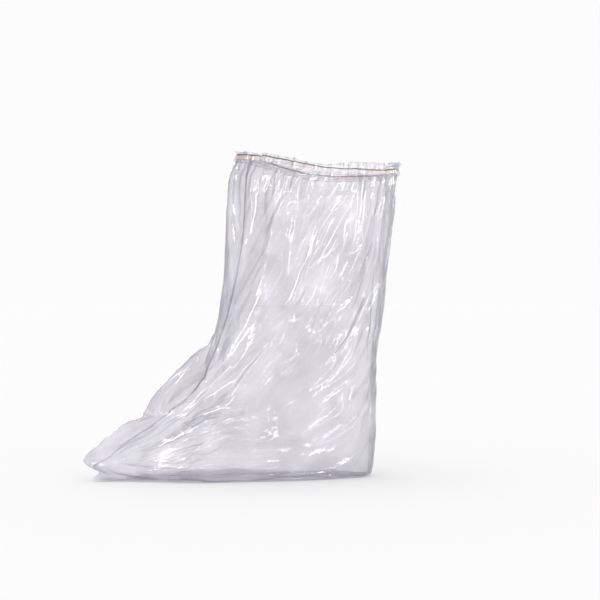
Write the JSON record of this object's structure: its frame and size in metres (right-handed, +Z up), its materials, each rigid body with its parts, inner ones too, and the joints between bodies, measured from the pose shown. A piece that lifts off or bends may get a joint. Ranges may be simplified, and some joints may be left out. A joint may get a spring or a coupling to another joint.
{
  "type": "shoe cover",
  "caption": "Tall clear film shoe cover in its worn form: a welded bag for the foot and lower leg with a pointed toe, loose folds and a gathered elastic cuff.",
  "frame": {"origin": "on the inner face of the sole, on the middle plane, under the middle of the foot, where the cover sits under a foot", "axes": "+Z up the leg, -Y towards the toe, +X to the wearer's left"},
  "size_m": [0.134, 0.352, 0.3653],
  "materials": {
    "film": "clear, glossy, thin film",
    "elastic": "matt woven elastic"
  },
  "bodies": {
    "root": {"film_cover": "film", "elastic_band": "elastic"}
  },
  "joints": []
}
